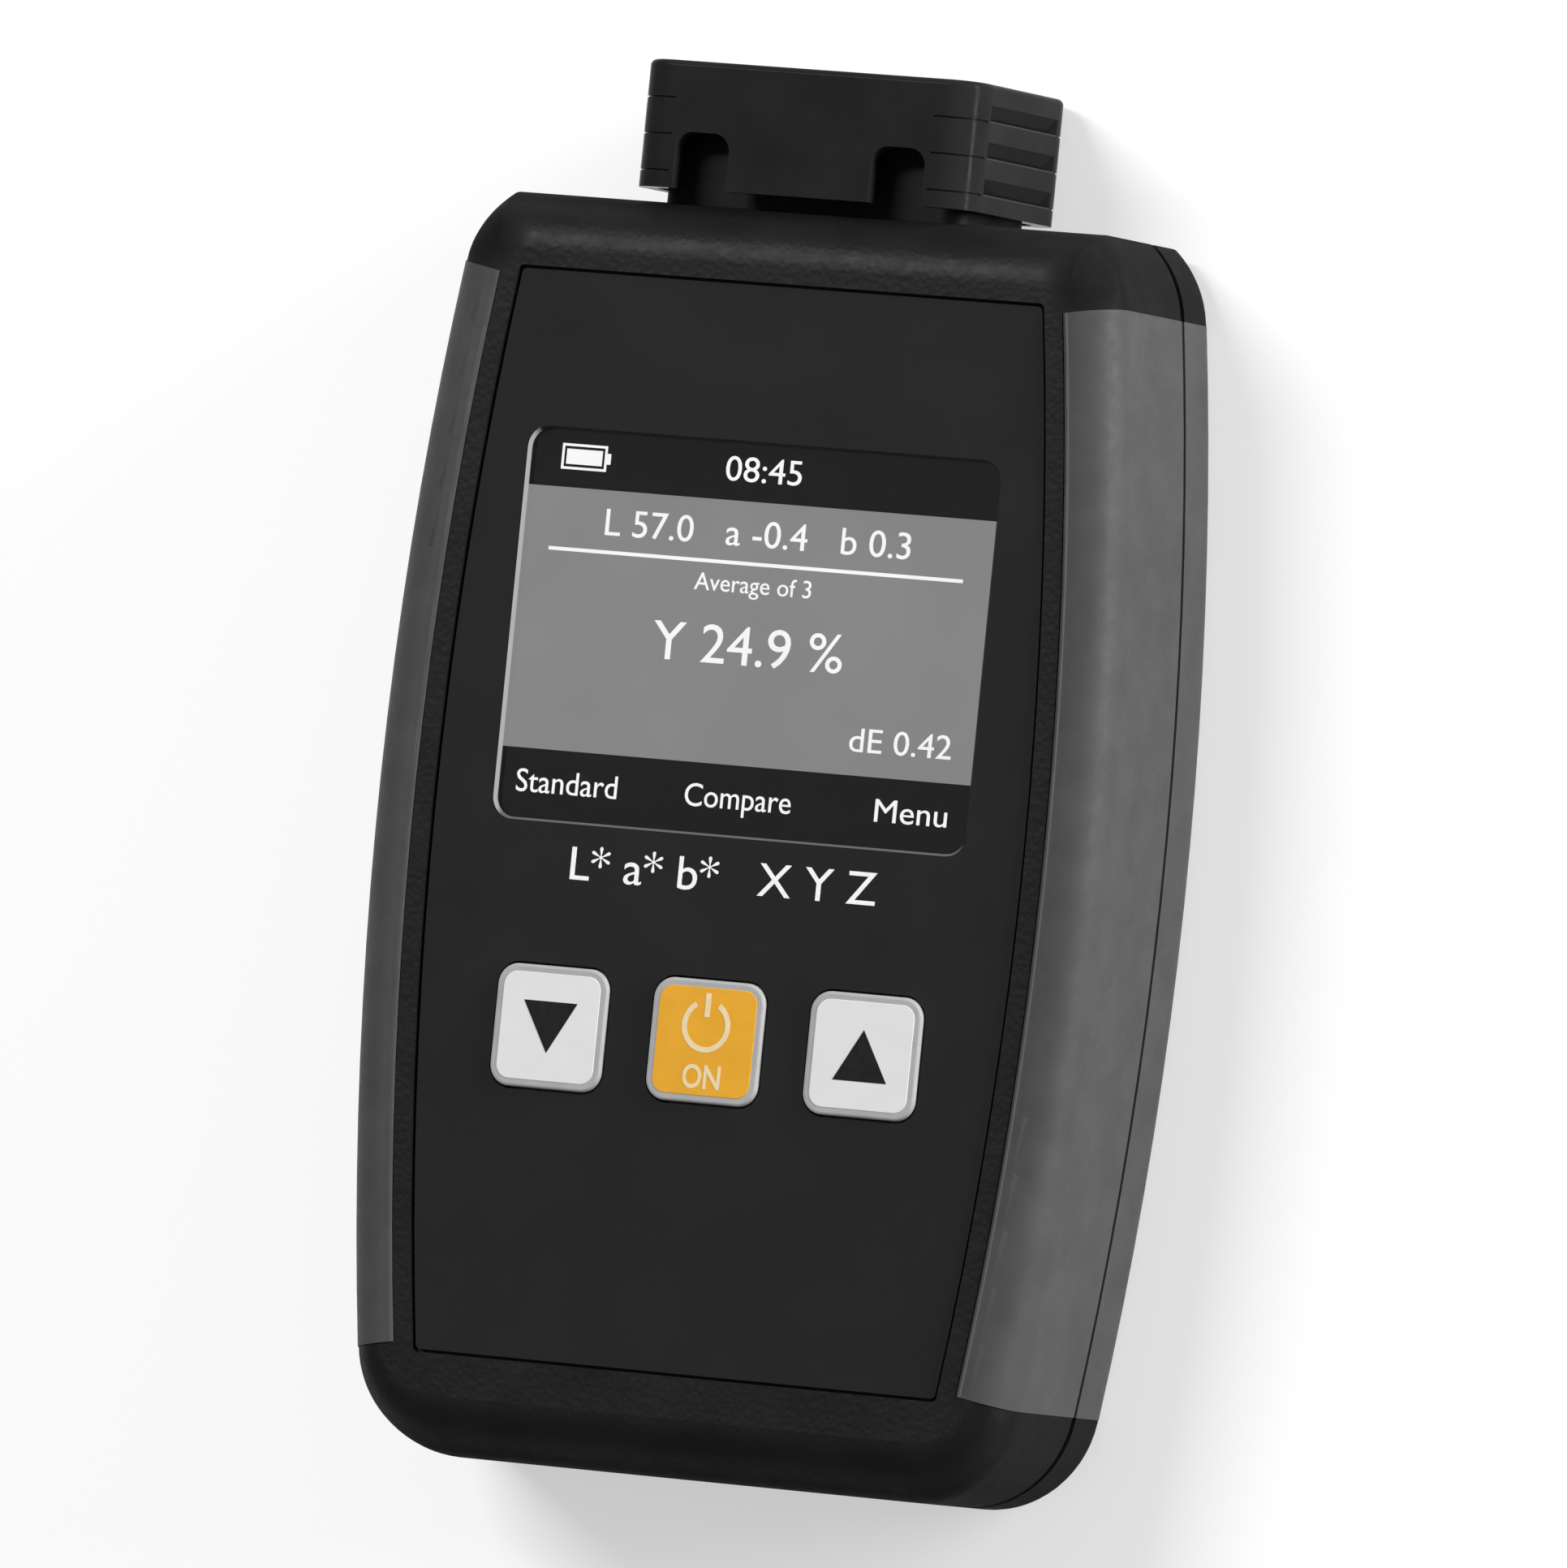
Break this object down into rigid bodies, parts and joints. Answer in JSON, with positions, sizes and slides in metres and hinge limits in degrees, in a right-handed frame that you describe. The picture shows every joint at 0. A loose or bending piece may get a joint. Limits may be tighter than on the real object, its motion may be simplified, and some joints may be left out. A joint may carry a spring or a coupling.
{
  "type": "handheld colorimeter",
  "caption": "Handheld colour meter: black case with drawn-in sides and grey grips, a display, a row of square keys and a pull-off measuring cap at its head.",
  "frame": {"origin": "middle of the footprint on the rear rest face, under the middle of the overall length", "axes": "+X to the right as the keys are read, +Y towards the measuring head, +Z out of the front face"},
  "size_m": [0.0892, 0.1558, 0.0277],
  "materials": {
    "case_black": "fine leather grain moulded in",
    "grip_grey": "soft matte grip",
    "fascia_black": "fine matte film",
    "lens_clear": "clear, polished",
    "display": "lit picture under a clear lens",
    "frame_white": "plain moulded",
    "flex_amber": "smooth film",
    "board_green": "solder mask",
    "chip_black": "moulded package",
    "socket_cream": "plain moulded",
    "screw_steel": "plated",
    "spring_steel": "nickel plated strip",
    "cell_wrap": "printed wrap over a can, weighed as a whole cell",
    "lead_red": "insulated wire",
    "key_rim": "satin",
    "key_white": "satin",
    "key_amber": "satin",
    "plunger_black": "plain moulded",
    "head_black": "fine matte",
    "gasket_black": "cut sheet",
    "ring_metal": "turned, dark anodised",
    "diffuser_white": "opal",
    "led_yellow": "phosphor under clear resin",
    "cap_black": "slight sheen, faint layer lines",
    "tile_white": "even white glaze",
    "pad_grey": "foam pad with adhesive"
  },
  "bodies": {
    "case": {"front_shell": "case_black", "rear_shell": "case_black", "grip_front_left": "grip_grey", "grip_front_right": "grip_grey", "grip_rear_left": "grip_grey", "grip_rear_right": "grip_grey", "front_fascia": "fascia_black", "display_lens": "lens_clear", "lcd_panel": "display", "lcd_frame": "frame_white", "lcd_flex": "flex_amber", "board_sockets": "socket_cream", "sensor_ribbon": "flex_amber", "main_board": "board_green", "board_screws": "screw_steel", "processor": "chip_black", "tact_switches": "chip_black", "battery_cells": "cell_wrap", "contact_plates": "spring_steel", "contact_springs": "spring_steel", "battery_leads": "lead_red", "case_screws": "screw_steel", "measuring_head": "head_black", "head_gasket": "gasket_black", "aperture_ring": "ring_metal", "optic_window": "lens_clear", "light_tunnel": "head_black", "diffuser_ring": "diffuser_white", "sensor_board": "board_green", "color_sensor": "chip_black", "ring_leds": "led_yellow", "head_screws": "screw_steel"},
    "cap": {"measuring_cap": "cap_black", "tile_pad": "pad_grey", "reference_tile": "tile_white"},
    "door": {"battery_door": "case_black"},
    "key_down": {"key_down_button": "key_rim", "key_down_face": "key_white", "key_down_plunger": "plunger_black"},
    "key_ok": {"key_ok_button": "key_rim", "key_ok_face": "key_amber", "key_ok_plunger": "plunger_black"},
    "key_up": {"key_up_button": "key_rim", "key_up_face": "key_white", "key_up_plunger": "plunger_black"}
  },
  "joints": [
    {"name": "key_down_press", "type": "slide", "parent": "case", "child": "key_down", "axis": [0, 0, -1], "range_m": [0, 0.0005], "stiffness_N_per_m": 4000},
    {"name": "key_ok_press", "type": "slide", "parent": "case", "child": "key_ok", "axis": [0, 0, -1], "range_m": [0, 0.0005], "stiffness_N_per_m": 4000},
    {"name": "key_up_press", "type": "slide", "parent": "case", "child": "key_up", "axis": [0, 0, -1], "range_m": [0, 0.0005], "stiffness_N_per_m": 4000},
    {"name": "cap_pull", "type": "slide", "parent": "case", "child": "cap", "axis": [0, 1, 0], "range_m": [0, 0.025]},
    {"name": "door_slide", "type": "slide", "parent": "case", "child": "door", "axis": [0, -1, 0], "range_m": [0, 0.06]}
  ]
}
